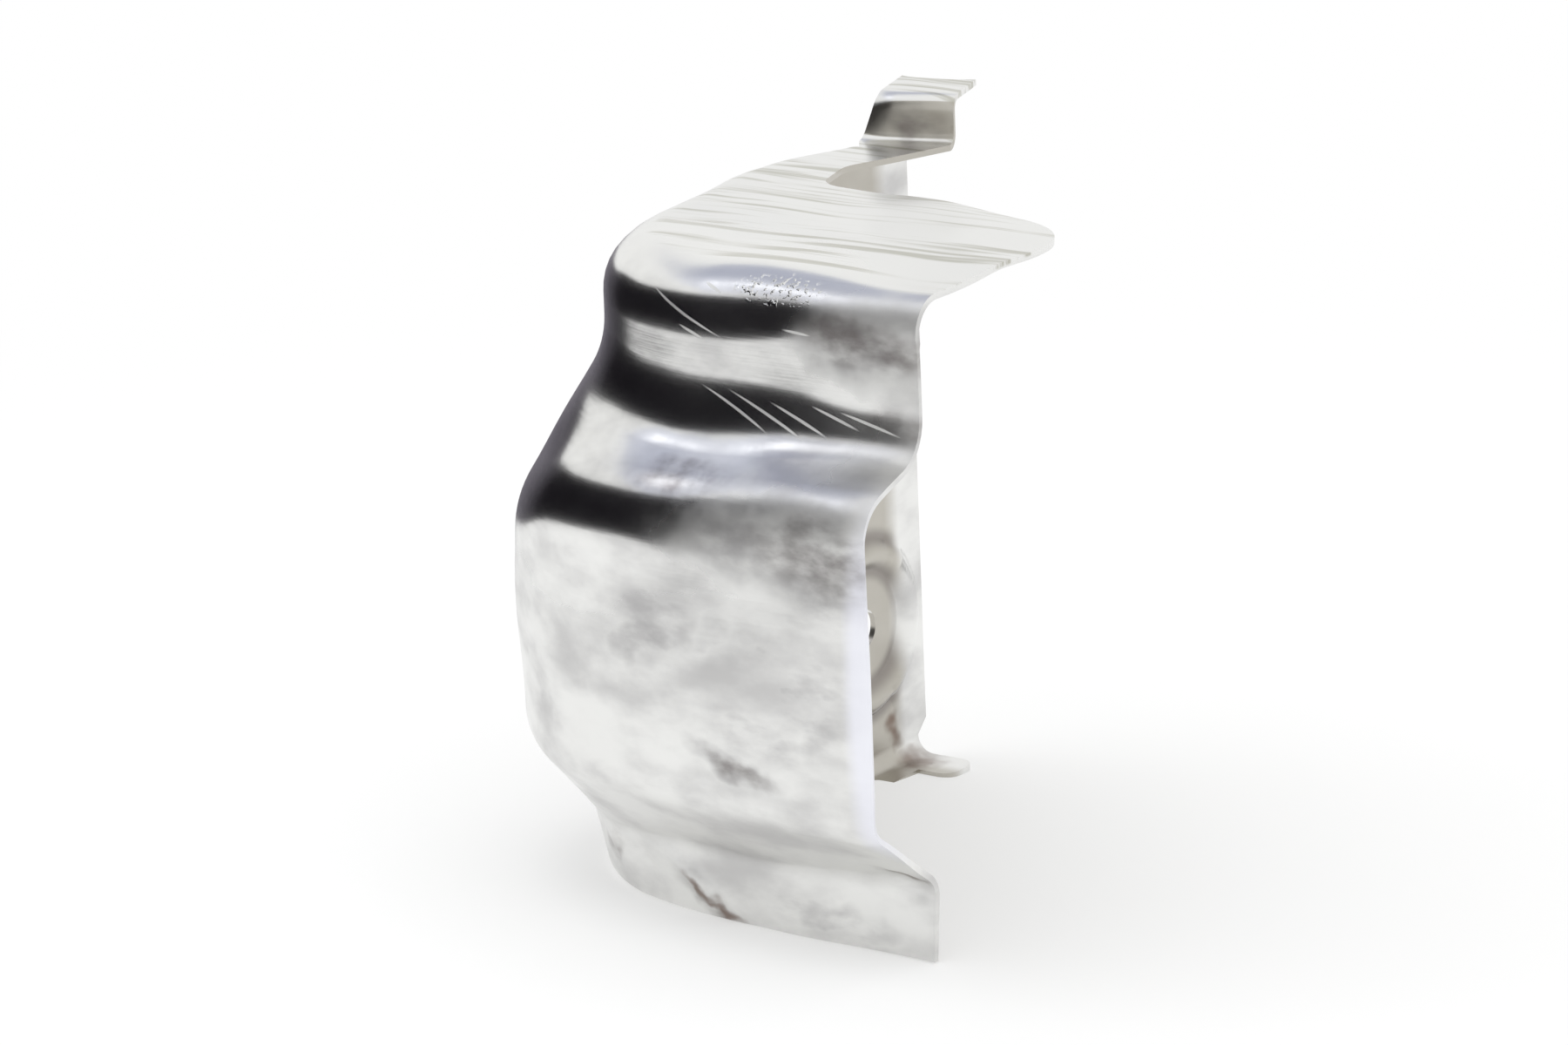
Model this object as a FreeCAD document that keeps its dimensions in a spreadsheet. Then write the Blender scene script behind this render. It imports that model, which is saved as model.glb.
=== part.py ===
import FreeCAD, Part
import math
import os

# Engine mount heat shield, pressed and folded from one aluminium sheet.
# Origin at the centre of the mounting hole, on the outer face of the side wall.
# X runs along the front wall, Y to the back, Z up; the front wall faces -Y, the side wall -X.

SIZES = [
    # sheet and plan
    ("sheet_thickness", 1.0),
    ("front_reach", 83.5),
    ("right_reach", 70.0),
    ("back_reach", 17.0),
    ("corner_radius", 36.0),
    ("side_offset", 5.0),
    ("roof_height", 84.6),
    ("roof_run", 15.0),
    ("bulge", 16.0),
    # section of the front wall at its right edge
    ("right_roof_bend", 5.0),
    ("right_fold_bend", 7.0),
    ("right_belt_bend", 7.0),
    ("right_fold_height", 61.5),
    ("right_belt_height", 55.8),
    ("right_panel_foot", 5.5),
    ("right_step_height", -6.5),
    ("right_step_offset", -0.5),
    ("right_edge_height", -18.5),
    ("right_edge_offset", 0.5),
    # section where the front wall runs into the rounded corner
    ("front_roof_bend", 9.0),
    ("front_fold_bend", 12.0),
    ("front_belt_bend", 12.0),
    ("front_fold_height", 62.2),
    ("front_belt_height", 52.5),
    ("front_panel_foot", 6.0),
    ("front_step_height", -7.0),
    ("front_step_offset", 2.0),
    ("front_edge_height", -18.5),
    ("front_edge_offset", 1.0),
    # section where the corner runs into the side wall
    ("corner_roof_bend", 8.0),
    ("corner_fold_bend", 20.0),
    ("corner_belt_bend", 20.0),
    ("corner_fold_height", 68.5),
    ("corner_belt_height", 37.5),
    ("corner_panel_foot", 6.5),
    ("corner_step_height", -8.5),
    ("corner_step_offset", 8.0),
    ("corner_edge_height", -18.0),
    ("corner_edge_offset", 5.5),
    # inside radii of the other bends
    ("panel_foot_bend", 5.0),
    ("step_bend", 4.0),
    ("flange_bend", 3.0),
    # side wall
    ("side_roof_bend", 4.0),
    ("side_fold_bend", 6.0),
    ("side_belt_bend", 5.0),
    ("fade_length", 30.5),
    ("shoulder_length", 18.0),
    ("flange_height", -27.0),
    ("flange_width", 7.0),
    ("border_width", 9.0),
    ("border_offset", 0.6),
    ("border_ramp", 2.0),
    ("wall_top", 80.0),
    ("relief_setback", 1.5),
    # mounting hole and the raised bead round its seat
    ("hole_diameter", 7.0),
    ("seat_diameter", 21.0),
    ("bead_diameter", 31.0),
    ("bead_height", 1.6),
    # foot tab
    ("foot_length", 13.5),
    ("foot_width", 8.2),
    ("foot_setback", 2.6),
    ("foot_corner", 2.8),
    ("foot_trim", 6.0),
    # back edge of the roof plate, from its tip to the tongue
    ("roof_tip_setback", 36.5),
    ("roof_tip_round", 17.0),
    ("roof_mid_reach", 31.0),
    ("roof_mid_setback", 27.0),
    ("roof_mid_round", 12.0),
    ("neck_reach", 14.5),
    ("neck_setback", 27.0),
    ("neck_round", 5.0),
    ("tongue_reach", 11.0),
    ("tongue_setback", 15.0),
    ("tongue_round", 8.0),
    # clip at the end of the tongue
    ("clip_left", 2.0),
    ("clip_setout", 3.5),
    ("clip_width", 16.0),
    ("clip_turn", 14.0),
    ("clip_rise", 7.4),
    ("clip_flange", 12.0),
    ("clip_tilt", 3.0),
    ("clip_bend", 1.6),
    ("clip_taper", 18.0),
]

LEAST_BEND_RUN = 0.6      # half length of a bend that has faded out
NO_TURN = 1e-3            # a bend that turns less than this is drawn straight
TOUCHING = 1e-6           # points nearer than this are one point
OVERLAP = 1.0             # how far pieces of the sheet reach into each other before they are joined
STATION_STEP = 6.5        # about how far apart the sections of the pressed wall stand
LOFT_DEGREE = 8           # high enough for the loft to keep to its end sections without overshoot

doc = FreeCAD.newDocument("engine_mount_heat_shield")
sheet = doc.addObject("Spreadsheet::Sheet", "sizes")
for row, (alias, value) in enumerate(SIZES, start=1):
    sheet.set("A%d" % row, alias)
    sheet.set("B%d" % row, str(value))
    sheet.setAlias("B%d" % row, alias)
doc.recompute()


def size(alias):
    return float(sheet.get(alias))


thickness = size("sheet_thickness")
front_face = -size("front_reach")
roof_height = size("roof_height")
corner_x = size("corner_radius") - size("side_offset")
corner_y = front_face + size("corner_radius")
fade_end_y = corner_y + size("fade_length")
shoulder_end_y = fade_end_y + size("shoulder_length")
border_y = size("back_reach") - size("border_width")


# A section is a list of the outer face's corner points (outward, up), roof first.

def wall_section(fold, belt, panel_foot, step, edge):
    roof_edge = fold[0] - size("roof_run")
    return [(roof_edge, roof_height), (fold[0], roof_height), fold, belt, panel_foot, step, edge]


def pressed_section(place, offset):
    return wall_section((offset, size(place + "_fold_height")),
                        (offset + size("bulge"), size(place + "_belt_height")),
                        (offset + size("bulge"), size(place + "_panel_foot")),
                        (offset + size(place + "_step_offset"), size(place + "_step_height")),
                        (offset + size(place + "_edge_offset"), size(place + "_edge_height")))


def flanged_section(offset):
    flange = size("flange_height")
    return wall_section((offset, size("corner_fold_height")),
                        (0, size("corner_belt_height")),
                        (0, flange),
                        (2 * LEAST_BEND_RUN - size("flange_width"), flange),
                        (-size("flange_width"), flange))


def bends(place, panel_foot="panel_foot_bend"):
    names = (place + "_roof_bend", place + "_fold_bend", place + "_belt_bend", panel_foot, "step_bend")
    return [size(name) for name in names]


side_bends = bends("side", "flange_bend")


def mixed(first, second, share):
    return first + (second - first) * share


def eased(first, second, share):
    ease = share * share * (3 - 2 * share)
    section = [(mixed(a[0], b[0], ease), mixed(a[1], b[1], ease)) for a, b in zip(first[0], second[0])]
    radii = [mixed(a, b, ease) for a, b in zip(first[1], second[1])]
    return section, radii


# A ribbon is the closed outline of the sheet along a list of corner points, every bend an arc.

def ribbon(corners, radii, place):
    points = [FreeCAD.Vector(u, v, 0) for u, v in corners]
    runs = [(b - a).normalize() for a, b in zip(points, points[1:])]
    inward = [FreeCAD.Vector(run.y, -run.x, 0) * thickness for run in runs]
    outer, inner = [points[0]], [points[0] + inward[0]]
    for corner, before, after, side_in, side_out, radius in zip(
            points[1:], runs, runs[1:], inward, inward[1:], radii):
        turn = before.x * after.y - before.y * after.x
        half_tan = abs(turn) / (1 + before.dot(after))
        face_radius = radius + thickness if turn < 0 else radius
        reach = max(face_radius * half_tan, LEAST_BEND_RUN)
        start, end = corner - before * reach, corner + after * reach
        middle = (start + end) / 2
        inner_middle = middle + (side_in + side_out) / 2
        if abs(turn) > NO_TURN:
            face_radius = reach / half_tan
            to_corner = (before - after).normalize()
            centre = corner - to_corner * math.hypot(face_radius, reach)
            middle = centre + to_corner * face_radius
            inner_middle = middle + to_corner * math.copysign(thickness, turn)
        outer += [start, middle, end]
        inner += [start + side_in, inner_middle, end + side_out]
    outer.append(points[-1])
    inner.append(points[-1] + inward[-1])
    outer = [place(p.x, p.y) for p in outer]
    inner = [place(p.x, p.y) for p in inner]
    low_edge = Part.makeLine(outer[-1], inner[-1])
    roof_edge = Part.makeLine(inner[0], outer[0])
    return Part.Wire(face_edges(outer) + [low_edge] + face_edges(inner)[::-1] + [roof_edge])


def face_edges(points):
    edges = [Part.makeLine(points[0], points[1])]
    for start, middle, end, following in zip(points[1::3], points[2::3], points[3::3], points[4::3]):
        straight = middle.distanceToLine(start, end - start) < TOUCHING
        edges.append(Part.makeLine(start, end) if straight else Part.Arc(start, middle, end).toShape())
        edges.append(Part.makeLine(end, following))
    return edges


def front_place(x):
    return lambda outward, up: FreeCAD.Vector(x, front_face - outward, up)


def corner_place(angle):
    radius = size("corner_radius")
    return lambda outward, up: FreeCAD.Vector(corner_x - (radius + outward) * math.sin(angle),
                                              corner_y - (radius + outward) * math.cos(angle), up)


def side_place(y, inset=0):
    return lambda outward, up: FreeCAD.Vector(inset - outward, y, up)


# An outline is a closed plan drawing (x, y, corner round) at one height.

def outline(corners, height):
    points = [FreeCAD.Vector(x, y, height) for x, y, _ in corners]
    stops = []
    for k, (_, _, radius) in enumerate(corners):
        before = (points[k - 1] - points[k]).normalize()
        after = (points[(k + 1) % len(points)] - points[k]).normalize()
        half = before.getAngle(after) / 2
        reach = radius / math.tan(half)
        bisector = (before + after).normalize()
        middle = points[k] + bisector * (radius / math.sin(half) - radius)
        stops.append((points[k] + before * reach, middle, points[k] + after * reach))
    edges = []
    for k, (start, middle, end) in enumerate(stops):
        if start.distanceToPoint(end) > TOUCHING:
            edges.append(Part.Arc(start, middle, end).toShape())
        edges.append(Part.makeLine(end, stops[(k + 1) % len(stops)][0]))
    return Part.Wire(edges)


# Features of the document

def add_shape(name, shape):
    feature = doc.addObject("Part::Feature", name)
    feature.Shape = shape
    return feature


def add_loft(name, wires):
    loft = doc.addObject("Part::Loft", name)
    loft.Sections = [add_shape("%s_section_%d" % (name, k), wire) for k, wire in enumerate(wires)]
    loft.Solid = True
    loft.MaxDegree = LOFT_DEGREE
    return loft


def add_extrusion(name, base, direction, length):
    feature = doc.addObject("Part::Extrusion", name)
    feature.Base = base
    feature.DirMode = "Custom"
    feature.Dir = direction
    feature.Solid = True
    feature.setExpression("LengthFwd", length)
    return feature


def add_revolution(name, source, axis, angle):
    feature = doc.addObject("Part::Revolution", name)
    feature.Source = source
    feature.Axis = axis
    feature.Angle = angle
    feature.Solid = True
    return feature


def add_disc(name, diameter, start, length):
    disc = doc.addObject("Part::Cylinder", name)
    disc.Placement.Rotation = FreeCAD.Rotation(FreeCAD.Vector(0, 1, 0), 90)
    disc.setExpression("Radius", "%s / 2" % diameter)
    disc.setExpression("Height", length)
    disc.setExpression("Placement.Base.x", start)
    return disc


def add_box(name, sides, corner):
    box = doc.addObject("Part::Box", name)
    for side, value in zip(("Length", "Width", "Height"), sides):
        box.setExpression(side, value)
    for axis, value in zip("xyz", corner):
        box.setExpression("Placement.Base.%s" % axis, value)
    return box


def add_fuse(name, pieces):
    fuse = doc.addObject("Part::MultiFuse", name)
    fuse.Shapes = pieces
    fuse.Refine = True
    return fuse


def add_cut(name, base, tool):
    cut = doc.addObject("Part::Cut", name)
    cut.Base = base
    cut.Tool = tool
    return cut


# Pressed wall: its section eases from the right edge along the front, round the corner
# and along the side, where the bulge fades to the flat seat of the mounting hole.

right = pressed_section("right", 0), bends("right")
front = pressed_section("front", 0), bends("front")
corner = pressed_section("corner", 0), bends("corner")
corner_side = pressed_section("corner", size("side_offset")), bends("corner")
seat_side = flanged_section(size("side_offset")), side_bends


def shares(length):
    steps = max(1, round(length / STATION_STEP))
    return [step / steps for step in range(steps)]


wall_wires = []
for share in shares(size("right_reach") - corner_x):
    place = front_place(mixed(size("right_reach"), corner_x, share))
    wall_wires.append(ribbon(*eased(right, front, share), place))
for share in shares(size("corner_radius") * math.pi / 2):
    wall_wires.append(ribbon(*eased(front, corner, share), corner_place(share * math.pi / 2)))
for share in shares(size("fade_length")) + [1]:
    place = side_place(mixed(corner_y, fade_end_y, share))
    wall_wires.append(ribbon(*eased(corner_side, seat_side, share), place))
pressed_wall = add_loft("pressed_wall", wall_wires)

# Back of the side wall: the upper band comes in to the seat's plane, and a border is set inward.

flat_wire = ribbon(flanged_section(0), side_bends, side_place(shoulder_end_y))
ramp_wire = ribbon(flanged_section(0), side_bends, side_place(border_y))
border_wire = ribbon(flanged_section(0), side_bends,
                     side_place(border_y + size("border_ramp"), size("border_offset")))
side_shoulder = add_loft("side_shoulder", [wall_wires[-1], flat_wire])
side_flat = add_loft("side_flat", [flat_wire, ramp_wire])
side_ramp = add_loft("side_ramp", [ramp_wire, border_wire])
side_border = add_extrusion("side_border", add_shape("border_face", Part.Face(border_wire)),
                            FreeCAD.Vector(0, 1, 0), "sizes.border_width - sizes.border_ramp")

# Behind the tongue the top of the side wall is cut free, and the seat is cut out for its bead.

side_back = add_fuse("side_back", [side_shoulder, side_flat, side_ramp, side_border])
relief = add_box("relief",
                 ("2 * sizes.roof_run", "sizes.back_reach + sizes.relief_setback", "sizes.roof_height"),
                 ("-sizes.side_offset", "-sizes.relief_setback", "sizes.wall_top"))
seat_opening = add_disc("seat_opening", "sizes.bead_diameter", "-sizes.roof_run", "2 * sizes.roof_run")
foot_corner_trim = Part.makePolygon([
    FreeCAD.Vector(0, size("back_reach") + OVERLAP, size("flange_height") - OVERLAP),
    FreeCAD.Vector(0, size("back_reach") + OVERLAP, size("flange_height") + size("foot_trim")),
    FreeCAD.Vector(0, size("back_reach"), size("flange_height") + size("foot_trim")),
    FreeCAD.Vector(0, size("back_reach") - size("foot_setback"), size("flange_height") + thickness),
    FreeCAD.Vector(0, size("back_reach") - size("foot_setback"), size("flange_height") - OVERLAP)], True)
back_trim = add_extrusion("back_trim", add_shape("back_trim_outline", Part.Face(foot_corner_trim)),
                          FreeCAD.Vector(1, 0, 0), "2 * sizes.flange_width")
side_relieved = add_cut("side_relieved", side_back, relief)
side_opened = add_cut("side_opened", side_relieved, seat_opening)
side_trimmed = add_cut("side_trimmed", side_opened, back_trim)

# Seat of the mounting hole: a flat disc inside a half-round bead that stands into the shield.

seat = add_disc("seat", "sizes.seat_diameter", "0", "sizes.sheet_thickness")


def bead_face():
    seat_edge, rim = size("seat_diameter") / 2, size("bead_diameter") / 2
    crest = (seat_edge + rim) / 2

    def arc(x):
        return Part.Arc(FreeCAD.Vector(x, seat_edge, 0), FreeCAD.Vector(x + size("bead_height"), crest, 0),
                        FreeCAD.Vector(x, rim, 0)).toShape()

    def end(radius):
        return Part.makeLine(FreeCAD.Vector(0, radius, 0), FreeCAD.Vector(thickness, radius, 0))

    return Part.Face(Part.Wire([arc(0), end(rim), arc(thickness), end(seat_edge)]))


bead = add_revolution("bead", add_shape("bead_section", bead_face()), FreeCAD.Vector(1, 0, 0), 360)

# Foot tab: the flange under the side wall runs on past its inner edge.

foot_near = size("back_reach") - size("foot_setback") - size("foot_width")
foot_far = size("back_reach") - size("foot_setback")
foot_root = size("flange_width") - OVERLAP
foot_outline = outline([(foot_root, foot_near, 0),
                        (size("foot_length"), foot_near, size("foot_corner")),
                        (size("foot_length"), foot_far, size("foot_corner")),
                        (foot_root, foot_far, 0)], size("flange_height"))
foot = add_extrusion("foot", add_shape("foot_outline", Part.Face(foot_outline)),
                     FreeCAD.Vector(0, 0, 1), "sizes.sheet_thickness")

# Roof plate, with the tongue that carries the clip. The strip of roof that the walls bring with
# them is cut back to the plate's edge, so that the two meet face to face.

clip_along = FreeCAD.Vector(math.cos(math.radians(size("clip_turn"))),
                            math.sin(math.radians(size("clip_turn"))), 0)
clip_back = FreeCAD.Vector(-clip_along.y, clip_along.x, 0)
clip_corner = FreeCAD.Vector(size("clip_left"), size("clip_setout"), roof_height)
tongue_left = clip_corner - clip_back * size("clip_bend")
tongue_right = tongue_left + clip_along * size("clip_width")
swept_run = size("roof_run") - OVERLAP
plate_left = swept_run - size("side_offset")

roof_outline = outline([
    (size("right_reach"), front_face + swept_run, 0),
    (size("right_reach"), -size("roof_tip_setback"), size("roof_tip_round")),
    (size("roof_mid_reach"), -size("roof_mid_setback"), size("roof_mid_round")),
    (size("neck_reach"), -size("neck_setback"), size("neck_round")),
    (size("tongue_reach"), -size("tongue_setback"), size("tongue_round")),
    (tongue_right.x, tongue_right.y, 0),
    (tongue_left.x, tongue_left.y, 0),
    (plate_left, -size("relief_setback"), 0),
    (plate_left, front_face + swept_run, size("corner_radius") - swept_run)], roof_height)
roof_face = add_shape("roof_outline", Part.Face(roof_outline))
roof = add_extrusion("roof", roof_face, FreeCAD.Vector(0, 0, -1), "sizes.sheet_thickness")
strip_tool = add_extrusion("strip_tool", roof_face, FreeCAD.Vector(0, 0, -1), "2 * sizes.sheet_thickness")
strip_tool.setExpression("LengthRev", "sizes.sheet_thickness")
wall_cut_back = add_cut("wall_cut_back", pressed_wall, strip_tool)
side_cut_back = add_cut("side_cut_back", side_trimmed, strip_tool)

# Clip: up from the tongue, then back over a flange, with its left edge leaning in

clip_tilt = math.radians(size("clip_tilt"))
clip_section = [(-size("clip_bend") - OVERLAP, 0), (0, 0), (0, size("clip_rise")),
                (size("clip_flange") * math.cos(clip_tilt),
                 size("clip_rise") + size("clip_flange") * math.sin(clip_tilt))]
clip_wire = ribbon(clip_section, [size("clip_bend")] * 2,
                   lambda back, up: clip_corner + clip_back * back + FreeCAD.Vector(0, 0, up))
clip_strip = add_extrusion("clip_strip", add_shape("clip_face", Part.Face(clip_wire)),
                           clip_along, "sizes.clip_width")
clip_trim = add_box("clip_trim",
                    ("sizes.clip_width", "2 * sizes.clip_flange", "2 * sizes.clip_flange"), ())
lean = FreeCAD.Rotation(FreeCAD.Vector(0, 1, 0), size("clip_taper"))
turn = FreeCAD.Rotation(FreeCAD.Vector(0, 0, 1), size("clip_turn"))
clip_trim.Placement = FreeCAD.Placement(clip_corner, turn) * FreeCAD.Placement(
    FreeCAD.Vector(0, 0, 0), lean) * FreeCAD.Placement(
    FreeCAD.Vector(-size("clip_width"), -size("clip_flange") / 2, 0), FreeCAD.Rotation())
clip = add_cut("clip", clip_strip, clip_trim)

# One sheet, with the mounting hole through its seat

pressing = add_fuse("pressing", [wall_cut_back, side_cut_back, seat, bead, foot, roof, clip])
mounting_hole = add_disc("mounting_hole", "sizes.hole_diameter", "-sizes.roof_run", "2 * sizes.roof_run")
shield = add_cut("shield", pressing, mounting_hole)
shield.Label = "heat_shield"

doc.recompute()

for item in doc.Objects:
    if "Invalid" in item.State or "Error" in item.State:
        raise RuntimeError("%s did not recompute: %s" % (item.Name, item.State))
    if item.isDerivedFrom("Part::Feature") and (item.Shape.isNull() or not item.Shape.isValid()):
        raise RuntimeError("%s has no valid shape" % item.Name)
if len(shield.Shape.Solids) != 1:
    raise RuntimeError("the sheet is not one solid")

os.makedirs("parts", exist_ok=True)
shield.Shape.exportStep("parts/%s.step" % shield.Label)
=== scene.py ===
import math

import bpy
import numpy as np
from mathutils import Matrix, Vector


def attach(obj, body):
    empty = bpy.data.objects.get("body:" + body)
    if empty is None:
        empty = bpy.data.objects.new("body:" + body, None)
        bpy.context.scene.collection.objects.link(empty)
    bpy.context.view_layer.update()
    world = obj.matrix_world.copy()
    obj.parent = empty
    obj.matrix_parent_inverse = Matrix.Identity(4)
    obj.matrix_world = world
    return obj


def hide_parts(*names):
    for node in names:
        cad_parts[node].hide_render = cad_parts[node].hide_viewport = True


# Engine mount heat shield: one aluminium sheet, pressed and folded.
# Lengths are in millimetres, x along the front wall, y to the back, z up, and go to metres at the mesh.

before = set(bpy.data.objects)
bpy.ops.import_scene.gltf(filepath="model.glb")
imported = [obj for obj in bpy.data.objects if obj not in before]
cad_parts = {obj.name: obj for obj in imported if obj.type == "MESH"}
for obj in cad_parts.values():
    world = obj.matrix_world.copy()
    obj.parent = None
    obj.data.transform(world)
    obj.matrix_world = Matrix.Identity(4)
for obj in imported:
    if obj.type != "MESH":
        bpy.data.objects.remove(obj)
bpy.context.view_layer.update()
mm = 0.001
tiny = 1e-9
print("frame loaded, nodes:", sorted(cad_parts))


# the sheet and its sections

sheet = {
    "thickness": 1.0, "rimRound": 0.2, "rimSteps": 2, "rimAngle": 50.0, "leastBendRun": 0.6,
    "rightReach": 70.0, "frontReach": 83.5, "backReach": 17.0,
    "cornerRadius": 36.0, "sideOffset": 5.0, "roofHeight": 84.6, "roofRun": 20.0, "bulge": 16.0,
    "fadeLength": 30.5, "shoulderLength": 18.0, "reliefSetback": 1.5,
    "flangeHeight": -27.0, "flangeWidth": 7.0,
    "borderStart": 8.0, "borderRamp": 2.0, "borderOffset": 0.6,
}

# heights down the section, (outward, up) of the step and the lower edge, inside radii from the roof down
sections = {
    "right": {"fold": 61.5, "belt": 55.8, "foot": 5.5, "step": (-0.5, -6.5), "edge": (0.5, -18.5),
              "bends": (5.0, 7.0, 7.0, 5.0, 4.0)},
    "front": {"fold": 62.2, "belt": 52.5, "foot": 6.0, "step": (2.0, -7.0), "edge": (1.0, -18.5),
              "bends": (9.0, 12.0, 12.0, 5.0, 4.0)},
    "corner": {"fold": 68.5, "belt": 37.5, "foot": 6.5, "step": (8.0, -8.5), "edge": (5.5, -18.0),
               "bends": (8.0, 20.0, 20.0, 5.0, 4.0)},
    "seat": {"bends": (4.0, 6.0, 5.0, 3.0, 4.0)},
}

# points along each stretch of the section: straight, bend, straight, bend ...
sectionCounts = (30, 10, 14, 8, 16, 8, 38, 9, 9, 8, 11)

# seat of the mounting hole, with the square window of the side wall that its rings fill
seat = {"holeRadius": 3.5, "flatRadius": 10.0, "beadInner": 10.2, "beadOuter": 15.9, "beadHeight": 1.6,
        "windowHalf": 16.0, "rings": 34}

# foot tab, y of its sides, and the trimmed corner of the side wall behind it
foot = {"near": 6.2, "far": 14.4, "length": 13.5, "corner": 2.8, "steps": 7, "cornerSteps": 8,
        "trimRise": 2.5, "trimFrom": 0.85}


def stopped(stops):  # even steps from each stop to the next
    values = [np.linspace(a[0], b[0], a[1], endpoint=False) for a, b in zip(stops, stops[1:])]
    return np.concatenate(values + [np.array([stops[-1][0]])])


def smooth(share):  # 3t^2 - 2t^3, held at 0 and 1 outside
    share = np.clip(share, 0.0, 1.0)
    return share * share * (3.0 - 2.0 * share)


def eased(value, start, end):  # the same ease, from 0 where the value is start to 1 where it is end
    return smooth((value - start) / (end - start))


def pressedCorners(name, offset):
    cut, out, roof = sections[name], offset + sheet["bulge"], sheet["roofHeight"]
    return np.array([(offset - sheet["roofRun"], roof), (offset, roof), (offset, cut["fold"]),
                     (out, cut["belt"]), (out, cut["foot"]), (offset + cut["step"][0], cut["step"][1]),
                     (offset + cut["edge"][0], cut["edge"][1])])


def seatCorners(offset):
    cut, roof = sections["corner"], sheet["roofHeight"]
    flange, run = sheet["flangeHeight"], sheet["flangeWidth"]
    return np.array([(offset - sheet["roofRun"], roof), (offset, roof), (offset, cut["fold"]),
                     (0.0, cut["belt"]), (0.0, flange),
                     (2.0 * sheet["leastBendRun"] - run, flange), (-run, flange)])


def mixed(first, second, share):  # first + (second - first) * share, for every station
    share = np.asarray(share).reshape((-1,) + (1,) * np.ndim(first))
    return first + (np.asarray(second) - np.asarray(first)) * share


def bendPoints(start, corner, end, w, t):
    # a circular bend, drawn as the rational curve (a (1-t)^2 + 2 w c t (1-t) + b t^2) divided by
    # ((1-t)^2 + 2 w t (1-t) + t^2), with w the cosine of half the turn
    first, middle, last = (1.0 - t) ** 2, 2.0 * w * t * (1.0 - t), t ** 2
    return (first * start + middle * corner + last * end) / (first + middle + last)


def bendStretches(corners, radii):
    # each bend starts and ends its reach R tan(turn / 2) from the corner point, along the runs it joins
    runs = np.diff(corners, axis=1)
    runs = runs / np.linalg.norm(runs, axis=2, keepdims=True)
    before, after = runs[:, :-1], runs[:, 1:]
    turn = before[..., 0] * after[..., 1] - before[..., 1] * after[..., 0]
    cosine = (before * after).sum(2)
    faceRadius = np.where(turn < 0, radii + sheet["thickness"], radii)
    reach = np.maximum(faceRadius * np.abs(turn) / (1.0 + cosine), sheet["leastBendRun"])[..., None]
    middle = corners[:, 1:-1]
    return middle - before * reach, middle, middle + after * reach, np.sqrt((1.0 + cosine) / 2.0)


def sectionCurve(corners, radii, counts):  # straight stretches with a bend between each two
    starts, middles, ends, weights = bendStretches(corners, radii)
    bends = starts.shape[1]
    froms = np.concatenate([corners[:, :1], ends], axis=1)
    tos = np.concatenate([starts, corners[:, -1:]], axis=1)
    stretches = []
    for k in range(bends + 1):
        t = np.linspace(0.0, 1.0, counts[2 * k], endpoint=False)[None, :, None]
        stretches.append(froms[:, k, None] * (1.0 - t) + tos[:, k, None] * t)
        if k < bends:
            t = np.linspace(0.0, 1.0, counts[2 * k + 1], endpoint=False)[None, :, None]
            stretches.append(bendPoints(starts[:, k, None], middles[:, k, None], ends[:, k, None],
                                        weights[:, k, None, None], t))
    return np.concatenate(stretches + [corners[:, -1:]], axis=1)


# stations: plan point on the wall's own line, outward direction, section corners and bends

cornerX = sheet["cornerRadius"] - sheet["sideOffset"]
cornerY = sheet["cornerRadius"] - sheet["frontReach"]
fadeEnd = cornerY + sheet["fadeLength"]

# stops along the sheet, x of the front and y of the side, with the stations from each to the next
edgeZone = 3.5                                  # closer stations at the rolled right edge
frontStops = ((sheet["rightReach"], 7), (sheet["rightReach"] - edgeZone, 36), (cornerX, 1))
cornerStations = 62
sideStops = ((cornerY, 27), (fadeEnd, 1), (-seat["windowHalf"], 12), (-sheet["reliefSetback"], 7),
             (foot["near"], 2), (sheet["borderStart"], 3), (sheet["borderStart"] + sheet["borderRamp"], 4),
             (foot["far"], 2), (seat["windowHalf"], 2), (sheet["backReach"], 1))

frontX = stopped(frontStops)[:-1]
cornerShare = np.linspace(0.0, 1.0, cornerStations, endpoint=False)
sideY = stopped(sideStops)
sideFrom = len(frontX) + cornerStations

frontShare = eased(frontX, sheet["rightReach"], cornerX)
turnAngle = cornerShare * math.pi / 2
fadeShare = eased(sideY, cornerY, fadeEnd)
shoulderShare = eased(sideY, fadeEnd, fadeEnd + sheet["shoulderLength"])
borderInset = sheet["borderOffset"] * smooth((sideY - sheet["borderStart"]) / sheet["borderRamp"])

fadingSide = mixed(pressedCorners("corner", sheet["sideOffset"]), seatCorners(sheet["sideOffset"]), fadeShare)
flatSide = mixed(seatCorners(sheet["sideOffset"]), seatCorners(0.0), shoulderShare)
stationCorners = np.concatenate([
    mixed(pressedCorners("right", 0.0), pressedCorners("front", 0.0), frontShare),
    mixed(pressedCorners("front", 0.0), pressedCorners("corner", 0.0), smooth(cornerShare)),
    np.where((sideY > fadeEnd)[:, None, None], flatSide, fadingSide)])
stationBends = np.concatenate([
    mixed(sections["right"]["bends"], sections["front"]["bends"], frontShare),
    mixed(sections["front"]["bends"], sections["corner"]["bends"], smooth(cornerShare)),
    mixed(sections["corner"]["bends"], sections["seat"]["bends"], fadeShare)])

outward = np.concatenate([
    np.tile((0.0, -1.0), (len(frontX), 1)),
    np.stack([-np.sin(turnAngle), -np.cos(turnAngle)], axis=1),
    np.tile((-1.0, 0.0), (len(sideY), 1))])
wallLine = np.concatenate([
    np.stack([frontX, np.full_like(frontX, -sheet["frontReach"])], axis=1),
    np.array([cornerX, cornerY]) + sheet["cornerRadius"] * outward[len(frontX):sideFrom],
    np.stack([borderInset, sideY], axis=1)])

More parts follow.
